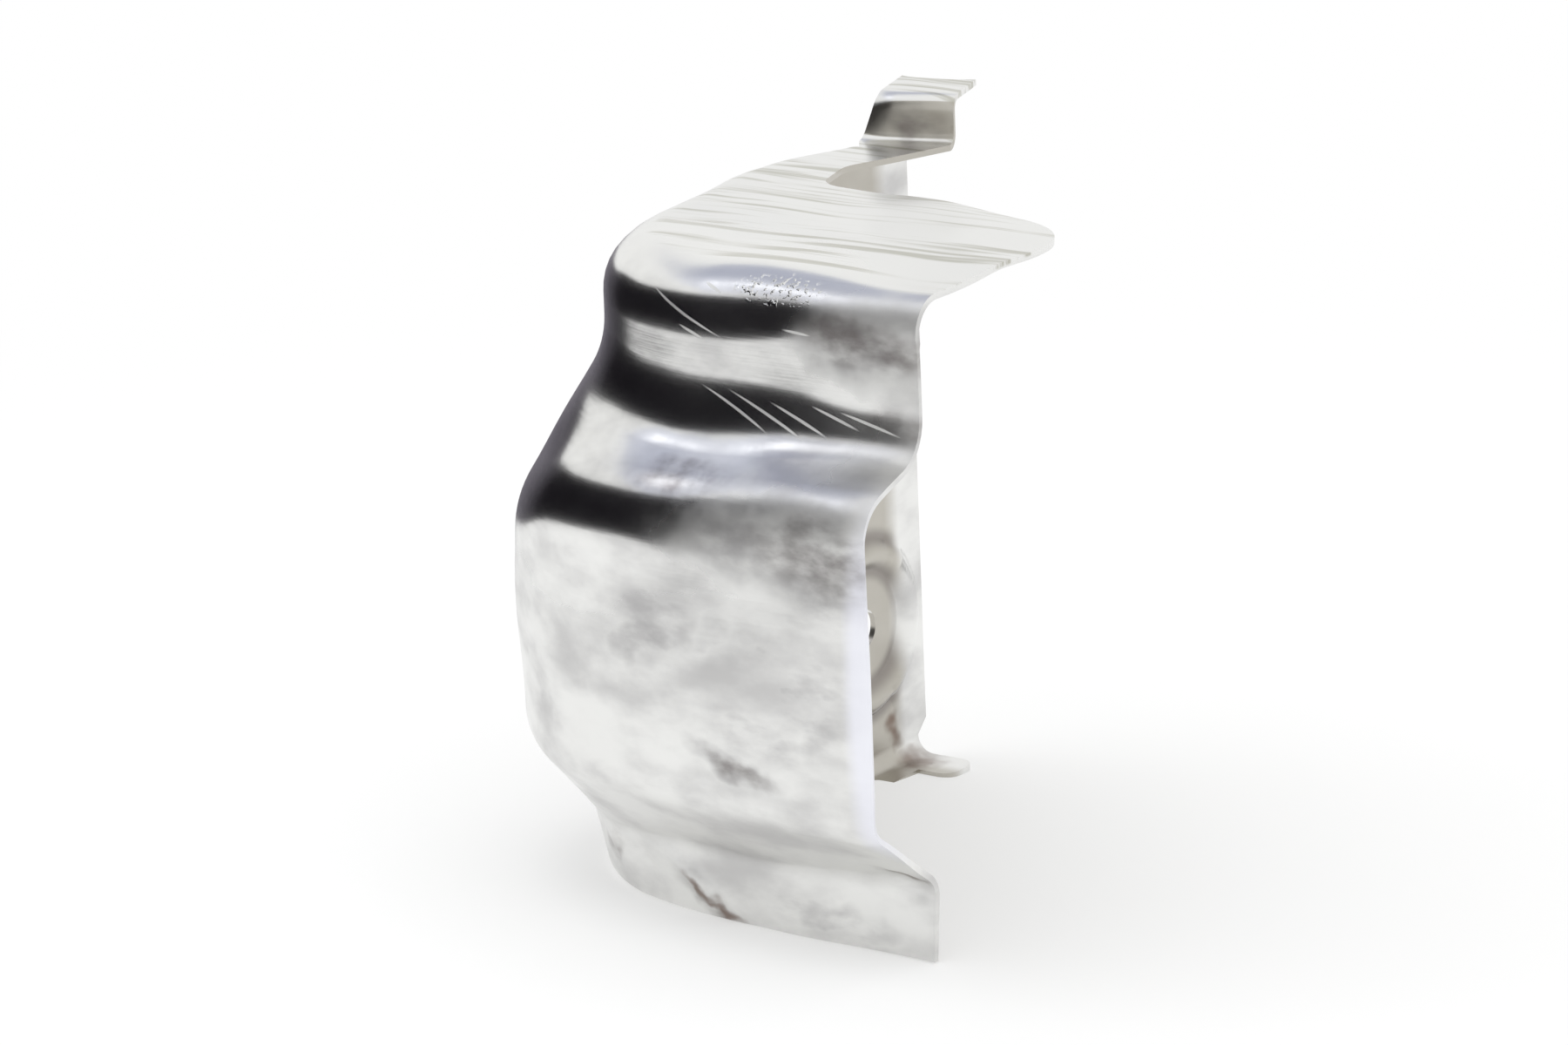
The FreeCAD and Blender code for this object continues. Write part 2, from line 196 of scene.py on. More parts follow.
curve = sectionCurve(stationCorners, stationBends, sectionCounts)
skin = np.concatenate([wallLine[:, None] + outward[:, None] * curve[..., :1], curve[..., 1:]], axis=2)
offSide = -1000.0                               # stands for y where a station isn't on the side
stationY = np.concatenate([np.full(sideFrom, offSide), sideY])
print("stations:", skin.shape[0], "points down the section:", skin.shape[1])


def stationAt(y):  # the side's station that is nearest to y
    return int(np.argmin(np.abs(stationY - y)))


# the roof, ruled from the roof bend to its own back edge, which ends at the clip's right corner

clip = {"left": 2.0, "setout": 3.5, "width": 16.0, "turn": 14.0, "rise": 7.4, "flange": 12.0, "tilt": 3.0,
        "bend": 1.6, "taper": 18.0, "lean": 6.0, "bow": 0.5, "curl": 1.1, "curlShare": 0.26,
        "tongueRows": 6, "counts": (1, 8, 8, 10, 12)}

clipTurn = math.radians(clip["turn"])
clipAlong = np.array([math.cos(clipTurn), math.sin(clipTurn), 0.0])
clipBack = np.array([-math.sin(clipTurn), math.cos(clipTurn), 0.0])
clipCorner = np.array([clip["left"], clip["setout"], sheet["roofHeight"]])
tongueRight = clipCorner + clipAlong * clip["width"] - clipBack * clip["bend"]

# x, y, radius and points of each rounded corner of the back edge
roofEdge = {"tip": (sheet["rightReach"], -36.5, 17.0, 24), "mid": (31.0, -27.0, 12.0, 16),
            "neck": (14.5, -27.0, 5.0, 16), "tongue": (11.0, -15.0, 8.0, 16)}
# which places of the back edge the corner's end and the side's neck are ruled to
ruled = {"cornerEndX": 21.0, "gap": 0.2, "neckFromY": -27.0, "neckEndY": -23.5}


def roundedCorner(first, corner, last, radius, count):  # a bend of one radius between two runs of an outline
    before = (corner - first) / np.linalg.norm(corner - first)
    after = (last - corner) / np.linalg.norm(last - corner)
    cosine = before @ after
    reach = radius * abs(before[0] * after[1] - before[1] * after[0]) / (1.0 + cosine)
    t, w = np.linspace(0.0, 1.0, count)[:, None], math.sqrt((1.0 + cosine) / 2.0)
    return bendPoints(corner - before * reach, corner, corner + after * reach, w, t)


def runAt(values, wanted):  # distance along the edge where a coordinate that only falls or rises has a value
    order = np.argsort(values)
    return np.interp(wanted, values[order], edgeRun[order])


edgeCorners = np.array([(sheet["rightReach"], -sheet["frontReach"])] + [c[:2] for c in roofEdge.values()]
                       + [tuple(tongueRight[:2])])
edgeLine = np.concatenate([roundedCorner(*edgeCorners[k:k + 3], *corner[2:])
                           for k, corner in enumerate(roofEdge.values())] + [edgeCorners[-1:]])
edgeRun = np.concatenate([[0.0], np.cumsum(np.linalg.norm(np.diff(edgeLine, axis=0), axis=1))])

edgeX = edgeLine[:int(np.argmin(edgeLine[:, 0])), 0]      # falls all the way from the tip to the neck
neckFrom = roofEdge["tip"][3] + roofEdge["mid"][3]
neckY, neckToEnd = edgeLine[neckFrom:, 1], edgeRun[neckFrom:]
frontRun = runAt(edgeX, frontX)
cornerRun = np.interp(cornerShare, (0.0, 1.0), runAt(edgeX, (cornerX, ruled["cornerEndX"])))
neckRun = np.interp(ruled["neckEndY"], neckY, neckToEnd)
beforeNeck = np.interp(sideY, (cornerY, ruled["neckFromY"]), (cornerRun[-1] + ruled["gap"], neckRun))
pastNeckY = np.interp(sideY, (ruled["neckFromY"], -sheet["reliefSetback"]),
                      (ruled["neckEndY"], -sheet["reliefSetback"]))
sideRun = np.where(sideY < ruled["neckFromY"], beforeNeck, np.interp(pastNeckY, neckY, neckToEnd))
stationRun = np.concatenate([frontRun, cornerRun, sideRun])
innerEdge = np.stack([np.interp(stationRun, edgeRun, edgeLine[:, k]) for k in (0, 1)], axis=1)

roofCount = sectionCounts[0]
roofShare = np.linspace(0.0, 1.0, roofCount, endpoint=False)[None, :, None]
bendStart = skin[:, roofCount:roofCount + 1, :2]
skin[:, :roofCount, :2] = innerEdge[:, None] * (1.0 - roofShare) + bendStart * roofShare
print("roof ruled, back edge", round(float(edgeRun[-1]), 1), "mm long")


# pressing marks and handling dents, as a shift of the skin along its normal

# a pair of heights or of y is where a mark starts and where it is full
marks = {
    "waves": 16, "waveSeed": 5, "waveLengths": (10.0, 42.0), "waveSlope": 0.017, "dentFall": 3.0,
    "creaseHeight": 0.75, "creaseWidth": 1.5, "creaseEnd": 0.05, "skirtTop": (-2.0, -6.0), "skirtBack": -60.0,
    "lipDepth": 1.0, "lipWidth": 4.2, "lipTop": (60.0, 46.0), "lipFoot": (-4.0, 4.0), "lipLeast": 0.25,
    "lipRoofGap": 6.0, "wallY": (-8.0, -28.0), "seatY": (-30.0, -10.0), "seatShare": 0.25,
}
# x, y, z of each dent, its radius and its depth
dents = np.array([
    (58.0, -100.0, 44.0, 9.0, 0.18), (30.0, -99.0, 12.0, 11.0, 0.16), (44.0, -91.0, 60.0, 8.0, 0.22),
    (22.0, -84.0, 74.0, 8.0, 0.12), (50.0, -84.0, 72.0, 9.0, 0.12), (27.0, -88.0, 60.0, 7.0, 0.20),
    (2.0, -80.0, 30.0, 12.0, 0.20), (55.0, -85.0, -13.0, 9.0, 0.15), (34.0, -60.0, 84.6, 12.0, 0.12),
    (58.0, -62.0, 84.6, 10.0, 0.10), (0.0, -8.0, 50.0, 12.0, 0.15)])
# x and z of the two ends of each crease that the skirt was drawn into, and its share of the height
creases = np.array([
    (18.5, -8.0, 35.0, -18.5, 1.0), (4.5, -7.0, 13.5, -17.5, 0.8),
    (12.0, -7.5, 19.0, -16.5, -0.5), (62.0, -4.5, 69.5, -8.5, -0.6)])

draws = np.random.default_rng(marks["waveSeed"])
waveTurn = draws.normal(size=(marks["waves"], 3))
waveTurn = waveTurn / np.linalg.norm(waveTurn, axis=1, keepdims=True)
waveLength = draws.uniform(*marks["waveLengths"], marks["waves"])
wavePhase = draws.uniform(0.0, 2.0 * math.pi, marks["waves"])


def gridNormals(points):  # along-station step crossed with down-section step
    normals = np.cross(np.gradient(points, axis=0), np.gradient(points, axis=1))
    return normals / np.maximum(np.linalg.norm(normals, axis=-1, keepdims=True), tiny)


def markShift(p):
    # crossing sine waves of one steepness, less a bell for each dent, plus a ridge along each crease
    phase = 2.0 * math.pi * (p @ waveTurn.T) / waveLength + wavePhase
    shift = (marks["waveSlope"] * waveLength / (2.0 * math.pi) * np.sin(phase)).sum(-1)
    away = np.linalg.norm(p[..., None, :] - dents[:, :3], axis=-1) / dents[:, 3]
    shift = shift - (dents[:, 4] * np.exp(-marks["dentFall"] * away ** 2)).sum(-1)
    start, run = creases[:, :2], creases[:, 2:4] - creases[:, :2]
    fromStart = p[..., None, [0, 2]] - start
    share = np.clip((fromStart * run).sum(-1) / (run ** 2).sum(-1), 0.0, 1.0)
    aside = np.linalg.norm(fromStart - share[..., None] * run, axis=-1) / marks["creaseWidth"]
    swell = np.sin(math.pi * np.clip(share, marks["creaseEnd"], 1.0 - marks["creaseEnd"]))
    ridge = creases[:, 4] * swell * np.exp(-aside ** 2)
    onSkirt = eased(p[..., 2], *marks["skirtTop"]) * (p[..., 1] < marks["skirtBack"])
    return shift + marks["creaseHeight"] * ridge.sum(-1) * onSkirt


# full on the front and corner, and calmer on the seat
markShare = eased(stationY, *marks["wallY"]) + eased(stationY, *marks["seatY"]) * marks["seatShare"]
# the right edge is rolled to the back by a parabola, fully along the panel and less above it
toEdge = np.where(stationY == offSide, sheet["rightReach"] - wallLine[:, 0], np.inf)
lipRoll = marks["lipDepth"] * np.clip(1.0 - toEdge / marks["lipWidth"], 0.0, 1.0) ** 2
height = skin[..., 2]
onPanel = marks["lipLeast"] + (1.0 - marks["lipLeast"]) * eased(height, *marks["lipTop"])
onPanel = onPanel * eased(height, *marks["lipFoot"]) * (height < sheet["roofHeight"] - marks["lipRoofGap"])
shift = markShift(skin) * np.clip(markShare, 0.0, 1.0)[:, None] - lipRoll[:, None] * onPanel
skin = skin + gridNormals(skin) * shift[..., None]
print("marks: largest shift", round(float(np.abs(shift).max()), 2), "mm")


# points and quads of the piece, kept as grids of point numbers

pointBlocks, quadBlocks = [], []


def addPoints(points):  # puts a grid of points in the piece and gives the grid of their numbers
    first = sum(len(block) for block in pointBlocks)
    flat = np.asarray(points, float).reshape(-1, 3)
    pointBlocks.append(flat)
    return np.arange(first, first + len(flat)).reshape(np.shape(points)[:-1])


def gridQuads(numbers):  # the four corners of each cell of a grid of point numbers
    return np.stack([numbers[:-1, :-1], numbers[1:, :-1], numbers[1:, 1:], numbers[:-1, 1:]], axis=-1)


def addQuads(numbers, keep=None):
    cells = gridQuads(numbers)
    quadBlocks.append(cells.reshape(-1, 4) if keep is None else cells[keep])


# the main skin, without the corner behind the tongue, the seat's window and the trimmed far corner

stretchEnds = np.cumsum(sectionCounts)
roofBendEnd, panelStart, panelEnd = stretchEnds[1], stretchEnds[5], stretchEnds[6]
reliefStation, trimStation = stationAt(-sheet["reliefSetback"]), stationAt(foot["far"])

# behind the foot, the lowest part of the panel rises towards the far corner
trimShare = np.clip((sideY - foot["far"]) / (sheet["backReach"] - foot["far"]), 0.0, 1.0)[:, None]
panelZ = skin[sideFrom:, panelStart:panelEnd + 1, 2]      # a view, so what is added to it is in the skin
panelDrop = np.maximum(panelZ[:, :1] - panelZ[:, -1:], tiny)
downShare = (panelZ[:, :1] - panelZ) / panelDrop
panelZ += foot["trimRise"] * trimShare * eased(downShare, foot["trimFrom"], 1.0)

skinIds = addPoints(skin)
cellStation, cellDown = np.meshgrid(np.arange(skin.shape[0] - 1), np.arange(skin.shape[1] - 1), indexing="ij")
windowY = [stationAt(side * seat["windowHalf"]) for side in (-1, 1)]
seatZ = skin[windowY[0], :, 2]
windowZ = [int(np.argmin(np.abs(seatZ - side * seat["windowHalf"]))) for side in (1, -1)]
behindTongue = (cellStation >= reliefStation) & (cellDown < roofBendEnd)
pastTrim = (cellStation >= trimStation) & (cellDown >= panelEnd)
inWindow = ((cellStation >= windowY[0]) & (cellStation < windowY[1])
            & (cellDown >= windowZ[0]) & (cellDown < windowZ[1]))
addQuads(skinIds, ~(behindTongue | pastTrim | inWindow))


# the seat: rings from the window's rim to the hole, with the bead raised into the shield

rimIds = np.concatenate([
    skinIds[windowY[0]:windowY[1], windowZ[0]], skinIds[windowY[1], windowZ[0]:windowZ[1]],
    skinIds[windowY[1]:windowY[0]:-1, windowZ[1]], skinIds[windowY[0], windowZ[1]:windowZ[0]:-1]])
rim = pointBlocks[0][rimIds]
rimAngle = np.arctan2(rim[:, 2], rim[:, 1])
hole = seat["holeRadius"] * np.stack([np.cos(rimAngle), np.sin(rimAngle)], axis=1)
ringShare = np.linspace(0.0, 1.0, seat["rings"] + 1)[1:, None, None]
ringPlan = rim[None, :, 1:] * (1.0 - ringShare) + hole[None] * ringShare
ringRadius = np.linalg.norm(ringPlan, axis=-1)
beadShare = np.clip((ringRadius - seat["beadInner"]) / (seat["beadOuter"] - seat["beadInner"]), 0.0, 1.0)
# the bead is one raised cosine across its width
bead = seat["beadHeight"] * 0.5 * (1.0 - np.cos(2.0 * math.pi * beadShare))
ringX = bead + rim[None, :, 0] * eased(ringRadius, seat["flatRadius"], seat["windowHalf"])
ringIds = addPoints(np.concatenate([ringX[..., None], ringPlan], axis=-1))
ringIds = np.concatenate([rimIds[None], ringIds])
ringIds = np.concatenate([ringIds, ringIds[:, :1]], axis=1)
addQuads(ringIds.T)
print("seat:", len(rimIds), "points round the hole")


# the tongue and its clip, on from the roof at the relief

clipTilt = math.radians(clip["tilt"])
leanBack = clip["rise"] * math.tan(math.radians(clip["lean"]))
clipCorners = np.array([[
    (-clip["bend"], 0.0), (0.0, 0.0), (leanBack, clip["rise"]),
    (clip["flange"] * math.cos(clipTilt), clip["rise"] + clip["flange"] * math.sin(clipTilt))]])
clipCurve = sectionCurve(clipCorners, np.full((1, 2), clip["bend"]), clip["counts"])[0]
acrossShare = np.linspace(0.0, 1.0, roofCount + 1)[None]
taper = np.tan(math.radians(clip["taper"])) * clipCurve[:, 1:]
alongClip = clip["width"] + (taper - clip["width"]) * acrossShare
# the rising face bows outward by a parabola across it, and its left end curls back by another
bow = clip["bow"] * (1.0 - (2.0 * acrossShare - 1.0) ** 2)
curl = clip["curl"] * np.clip((acrossShare - 1.0) / clip["curlShare"] + 1.0, 0.0, 1.0) ** 2
risen = np.clip(clipCurve[:, 1:] / clip["rise"], 0.0, 1.0)
clipRows = (clipCorner + clipBack * (clipCurve[:, :1] - (bow - curl) * risen)[..., None]
            + np.array([0.0, 0.0, 1.0]) * clipCurve[:, None, 1:] + clipAlong * alongClip[..., None])
clipRows = clipRows + gridNormals(clipRows) * (markShift(clipRows) * risen)[..., None]
tongueStart = skin[reliefStation, :roofCount + 1]
tongueShare = np.linspace(0.0, 1.0, clip["tongueRows"], endpoint=False)[1:, None, None]
tongueRows = tongueStart[None] * (1.0 - tongueShare) + clipRows[:1] * tongueShare
clipIds = addPoints(np.concatenate([tongueRows, clipRows]))
addQuads(np.concatenate([skinIds[reliefStation:reliefStation + 1, :roofCount + 1], clipIds]))
print("tongue and clip:", len(clipIds), "rows")


# the foot tab, on from the flange's inner edge

nearStation = stationAt(foot["near"])
footEdge = skin[nearStation:trimStation + 1, -1]
# even steps to where the corners start, then quarter-turn steps round them
roundFrom, halfWidth = foot["length"] - foot["corner"], (foot["far"] - foot["near"]) / 2
cornerTurn = np.linspace(0.0, math.pi / 2, foot["cornerSteps"])[1:]
footX = np.concatenate([np.linspace(sheet["flangeWidth"], roundFrom, foot["steps"])[1:],
                        foot["length"] - foot["corner"] * (1.0 - np.sin(cornerTurn))])
past = np.clip(footX - roundFrom, 0.0, foot["corner"])
footHalf = halfWidth - foot["corner"] + np.sqrt(foot["corner"] ** 2 - past ** 2)
footMiddle = (foot["far"] + foot["near"]) / 2
footShare = (footEdge[:, 1] - footMiddle) / halfWidth
footPoints = np.stack(np.broadcast_arrays(footX[None], footMiddle + footShare[:, None] * footHalf[None],
                                          sheet["flangeHeight"]), axis=-1)
footIds = np.concatenate([skinIds[nearStation:trimStation + 1, -1:], addPoints(footPoints)], axis=1)
addQuads(footIds)
print("foot:", footIds.size, "points")


# the piece: used points only, thickness inwards, edges broken

points = np.concatenate(pointBlocks)
used, quads = np.unique(np.concatenate(quadBlocks), return_inverse=True)
quads = quads.reshape(-1, 4)
mesh = bpy.data.meshes.new("pressed_sheet")
mesh.from_pydata((points[used] * mm).tolist(), [], quads.tolist())
mesh.update()
mesh.polygons.foreach_set("use_smooth", np.ones(len(mesh.polygons), bool))
shield = bpy.data.objects.new("pressed_sheet", mesh)
bpy.context.scene.collection.objects.link(shield)

wall = shield.modifiers.new("thickness", "SOLIDIFY")
wall.thickness = sheet["thickness"] * mm
wall.offset = -1.0
wall.use_even_offset = True
brokenEdge = shield.modifiers.new("brokenEdge", "BEVEL")
brokenEdge.width = sheet["rimRound"] * mm
brokenEdge.segments = sheet["rimSteps"]
brokenEdge.limit_method = "ANGLE"
brokenEdge.angle_limit = math.radians(sheet["rimAngle"])
brokenEdge.harden_normals = True
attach(shield, "root")
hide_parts("heat_shield")
print("sheet:", len(quads), "quads before thickness")


# materials

def linear(hexColour):  # sRGB hex to linear
    values = [int(hexColour[k:k + 2], 16) / 255 for k in (1, 3, 5)]
    return tuple(v / 12.92 if v <= 0.04045 else ((v + 0.055) / 1.055) ** 2.4 for v in values) + (1.0,)


def newMaterial(name):
    material = bpy.data.materials.new(name)
    material.use_nodes = True
    material.node_tree.nodes.clear()
    return material, material.node_tree


def addNode(tree, kind, settings=None, **links):  # sockets go by name, or by number after "in"
    node = tree.nodes.new(kind)

    def socket(name):
        numbered = name[:2] == "in" and name[2:].isdigit()
        return node.inputs[int(name[2:]) if numbered else name]

    for name, value in (settings or {}).items():
        if hasattr(node, name):
            setattr(node, name, value)
        else:
            socket(name).default_value = value
    for name, source in links.items():
        tree.links.new(source, socket(name))
    return node


# bright aluminium sheet, cold rolled, pressed and long handled: a soft mirror, sharpest where the die drew
# it over the corner and duller elsewhere, with rolling streaks on the roof, clouded patches, darker patches,
# scratches and brown stains; painted shade darkens the skirt's creases and the foot of the bead, a painted
# highlight brightens the lip of the right edge, and painted shade turns every face that looks towards the
# point "within", the inside, a dull warm grey
aluminium = {
    # the dark warm grey serves darker patches and painted shade in the creases and at the bead's foot, the
    # warm grey for the inner faces is painted shade, and the bluish white is a painted highlight at the lip
    "clean": "#eeeeec", "clouded": "#9f9d9f", "darkPatchAndShade": "#7c7573", "streak": "#a5a391", "stain": "#6b5142",
    "scratch": "#fafaf8", "inside": "#b3aea3", "lipHighlight": "#f1f2fb",
    "roughHandled": 0.30, "roughDrawn": 0.20, "roughScuffed": 0.58, "roughCloud": 0.20, "roughInside": 0.32,
    "roughScratch": 0.55, "within": (45.0, -30.0, 35.0), "wander": 5.0,
}
# grain of each pattern in millimetres along x, y and z, and its detail; the rolling lines, "roll", are finer
# on a real sheet, and are drawn coarser here so that they show
grains = {"cloud": ((15.0, 15.0, 8.0), 5.0), "smear": ((8.0, 8.0, 4.0), 5.0),
          "streak": ((44.0, 2.2, 8.0), 3.0), "roll": ((30.0, 30.0, 0.6), 3.0),
          "peel": ((2.6, 2.6, 2.6), 2.0), "pit": ((0.8, 0.8, 0.8), 1.0), "wander": ((5.0, 5.0, 5.0), 2.0)}
# height of each pattern's relief in millimetres, and how much of it shows
relief = {"roll": (0.05, 0.16), "peel": (0.10, 0.14), "pits": (0.35, 0.7)}

# each share is 0 at the first value of its mask, noise or place and has its most at the second
ramps = {
    "drawn": (0.0, 0.5, 1.0), "scuffed": (0.0, 0.45, 1.0), "patch": (0.0, 0.7, 0.66),
    "haze": (0.35, 0.75, 0.46), "smear": (0.25, 0.75, 1.0), "lines": (0.5, 0.66, 0.65),
    # the bead's foot takes painted shade, and the lip a painted highlight
    "darkPatchAndShade": (0.0, 0.8, 0.8), "stain": (0.0, 0.8, 0.75), "beadFootShade": (2.4, 0.2, 0.8),
    "inward": (0.02, 0.12, 0.8), "lipHighlight": (0.0, 0.5, 0.8), "scratch": (0.05, 0.4, 1.0),
    "dots": (0.55, 0.7, 1.0),
    "onRoof": (sheet["roofHeight"] - 0.5, sheet["roofHeight"], 1.0),
    "offRoof": (sheet["roofHeight"], sheet["roofHeight"] - 3.0, 1.0),
    "offBorder": (sheet["borderStart"] + 3.0, sheet["borderStart"] - 1.0, 1.0),
}

# centre, half sizes and turn in degrees, in the plane of the front wall, of each kind of mark
marksAt = {
    "drawn": [((18.0, -88.0, 66.0), (58.0, 46.0, 44.0), 0.0)],
    "scuffed": [((68.0, -85.0, 76.5), (24.0, 14.0, 9.0), 0.0), ((68.0, -97.0, 48.5), (42.0, 12.0, 9.5), 0.0)],
    "cloud": [((64.0, -99.0, 46.0), (20.0, 8.0, 12.0), 6.0), ((48.0, -99.0, 48.0), (16.0, 8.0, 7.0), 4.0),
              ((31.0, -99.0, 33.0), (12.0, 8.0, 14.0), 20.0), ((45.0, -99.0, 13.5), (13.0, 8.0, 3.6), 22.0),
              ((53.0, -99.0, 26.0), (22.0, 8.0, 18.0), 0.0), ((58.0, -83.0, 76.5), (17.0, 8.0, 6.5), 4.0),
              ((34.0, -92.0, 55.5), (11.0, 8.0, 3.8), -4.0), ((50.0, -84.0, -14.5), (18.0, 6.0, 3.6), 4.0),
              ((8.0, -88.0, 14.0), (10.0, 9.0, 10.0), 0.0)],
    # darker patches; along the skirt's creases and its lower edge they are painted shade
    "darkPatchAndShade": [((33.0, -94.0, 56.0), (11.0, 8.0, 3.6), -4.0), ((58.0, -82.0, 77.0), (17.0, 8.0, 5.0), 3.0),
              ((63.0, -99.0, 48.5), (17.0, 8.0, 7.0), 6.0), ((29.0, -84.0, -16.0), (10.0, 6.0, 2.6), 28.0),
              ((65.0, -85.0, -4.5), (6.0, 6.0, 1.6), 24.0), ((46.0, -99.0, 13.0), (9.0, 8.0, 2.0), 22.0),
              ((7.0, -78.0, -12.0), (3.0, 7.0, 8.0), 40.0), ((66.0, -84.0, 65.0), (8.0, 8.0, 3.0), 0.0),
              ((67.0, -83.0, 76.0), (9.0, 8.0, 4.5), 0.0), ((10.5, 5.6, 87.6), (8.0, 4.5, 3.6), 10.0)],
    "stain": [((27.5, -84.0, -14.3), (6.0, 5.0, 1.5), 35.0), ((31.5, -84.0, -17.0), (5.0, 5.0, 1.2), 20.0),
              ((5.0, 10.0, -25.5), (6.0, 7.0, 2.6), 0.0), ((0.5, 8.0, -20.0), (2.0, 3.0, 6.0), 0.0),
              ((66.5, -85.0, -5.0), (4.0, 5.0, 1.2), 30.0)],
    "pits": [((44.0, -80.0, 82.5), (9.0, 5.0, 2.6), 0.0)],
    # painted highlight along the rolled right edge
    "lipHighlight": [((70.5, -97.0, 27.0), (5.5, 16.0, 36.0), 0.0)],
}
# x and z of both ends of each scratch on the front wall, and their common half width, middle and half depth
scratches = {"ends": [((18.1, 81.2), (35.9, 74.6)), ((30.1, 67.7), (45.8, 61.4)),
                      ((34.9, 67.6), (52.7, 61.1)), ((50.7, 66.6), (60.6, 63.6)),
                      ((55.7, 66.2), (68.0, 63.4)), ((29.4, 82.4), (34.0, 81.1)),
                      ((26.5, 76.2), (32.0, 74.3)), ((45.8, 77.5), (51.7, 77.1)),
                      ((43.0, 66.5), (56.0, 62.0))],
             "half": 0.27, "y": -83.5, "depth": 9.0}
marksAt["scratch"] = [
    (((x0 + x1) / 2, scratches["y"], (z0 + z1) / 2),
     (math.hypot(x1 - x0, z1 - z0) / 2, scratches["depth"], scratches["half"]),
     math.degrees(math.atan2(z0 - z1, x1 - x0))) for (x0, z0), (x1, z1) in scratches["ends"]]
raggedMarks = ("scuffed", "cloud", "darkPatchAndShade", "stain")


def markMask(tree, place, spots):  # the strongest of a set of soft ellipsoids, 1 at their middles
    mask = None
    for middle, halves, turn in spots:
        spotSpace = addNode(tree, "ShaderNodeMapping", {
            "vector_type": "TEXTURE", "Location": middle, "Rotation": (0.0, math.radians(turn), 0.0),
            "Scale": halves}, Vector=place).outputs[0]
        spot = addNode(tree, "ShaderNodeTexGradient", {"gradient_type": "SPHERICAL"},
                       Vector=spotSpace).outputs["Fac"]
        if mask:
            spot = addNode(tree, "ShaderNodeMath", {"operation": "MAXIMUM"}, in0=mask, in1=spot).outputs[0]
        mask = spot
    return mask


material, tree = newMaterial("pressed_bright_aluminium")
out = addNode(tree, "ShaderNodeOutputMaterial")
shader = addNode(tree, "ShaderNodeBsdfPrincipled", {"Metallic": 1.0})
tree.links.new(shader.outputs[0], out.inputs[0])
coords = addNode(tree, "ShaderNodeTexCoord")
inMm = addNode(tree, "ShaderNodeMapping", {"Scale": (1 / mm,) * 3},
               Vector=coords.outputs["Object"]).outputs[0]
place = addNode(tree, "ShaderNodeSeparateXYZ", Vector=inMm)
toWithin = addNode(tree, "ShaderNodeVectorMath", {"operation": "SUBTRACT", "in0": aluminium["within"]},
                   in1=inMm).outputs[0]
toWithin = addNode(tree, "ShaderNodeVectorMath", {"operation": "NORMALIZE"}, in0=toWithin).outputs[0]
facing = addNode(tree, "ShaderNodeVectorMath", {"operation": "DOT_PRODUCT"}, in0=toWithin,
                 in1=coords.outputs["Normal"]).outputs["Value"]

noises = {}
for name, (grain, detail) in grains.items():
    grainSpace = addNode(tree, "ShaderNodeMapping", {"Scale": tuple(1 / g for g in grain)},
                         Vector=inMm).outputs[0]
    noises[name] = addNode(tree, "ShaderNodeTexNoise", {"Scale": 1.0, "Detail": detail},
                           Vector=grainSpace).outputs
# marks with ragged outlines: the place wanders by up to half of aluminium["wander"]
ragged = addNode(tree, "ShaderNodeVectorMath", {"operation": "SUBTRACT", "in1": (0.5, 0.5, 0.5)},
                 in0=noises["wander"]["Color"]).outputs[0]
ragged = addNode(tree, "ShaderNodeVectorMath", {
    "operation": "MULTIPLY_ADD", "in1": (aluminium["wander"],) * 3}, in0=ragged, in2=inMm).outputs[0]
masks = {name: markMask(tree, ragged if name in raggedMarks else inMm, spots)
         for name, spots in marksAt.items()}

# how far a place is from the nearer of the two rings at the foot of the bead, which painted shade darkens
fromAxis = addNode(tree, "ShaderNodeCombineXYZ", Y=place.outputs["Y"], Z=place.outputs["Z"]).outputs[0]
fromAxis = addNode(tree, "ShaderNodeVectorMath", {"operation": "LENGTH"}, in0=fromAxis).outputs["Value"]
beadAway = None
for ring in (seat["beadInner"], seat["beadOuter"]):
    ringAway = addNode(tree, "ShaderNodeMath", {"operation": "SUBTRACT", "in1": ring},
                       in0=fromAxis).outputs[0]
    ringAway = addNode(tree, "ShaderNodeMath", {"operation": "ABSOLUTE"}, in0=ringAway).outputs[0]
    if beadAway:
        ringAway = addNode(tree, "ShaderNodeMath", {"operation": "MINIMUM"}, in0=beadAway,
                           in1=ringAway).outputs[0]
    beadAway = ringAway

sources = {
    "drawn": masks["drawn"], "scuffed": masks["scuffed"], "patch": masks["cloud"], "darkPatchAndShade": masks["darkPatchAndShade"],
    "stain": masks["stain"], "lipHighlight": masks["lipHighlight"], "scratch": masks["scratch"],
    "haze": noises["cloud"]["Fac"], "smear": noises["smear"]["Fac"], "lines": noises["streak"]["Fac"],
    "dots": noises["pit"]["Fac"], "beadFootShade": beadAway, "inward": facing,
    "onRoof": place.outputs["Z"], "offRoof": place.outputs["Z"], "offBorder": place.outputs["Y"],
}
shares = {}
for name, (low, high, most) in ramps.items():
    shares[name] = addNode(tree, "ShaderNodeMapRange", {
        "From Min": low, "From Max": high, "To Max": most, "interpolation_type": "SMOOTHSTEP"},
        Value=sources[name]).outputs[0]
for name, first, second in (("patch", "patch", "smear"), ("darkPatchAndShade", "darkPatchAndShade", "smear"),
                            ("streak", "lines", "onRoof"), ("inside", "inward", "offBorder"),
                            ("beadFootShade", "beadFootShade", "inside"), ("haze", "haze", "offRoof")):
    shares[name] = addNode(tree, "ShaderNodeMath", {"operation": "MULTIPLY"}, in0=shares[first],
                           in1=shares[second]).outputs[0]
dull = addNode(tree, "ShaderNodeMath", {"operation": "MAXIMUM"}, in0=shares["patch"],
               in1=shares["haze"]).outputs[0]

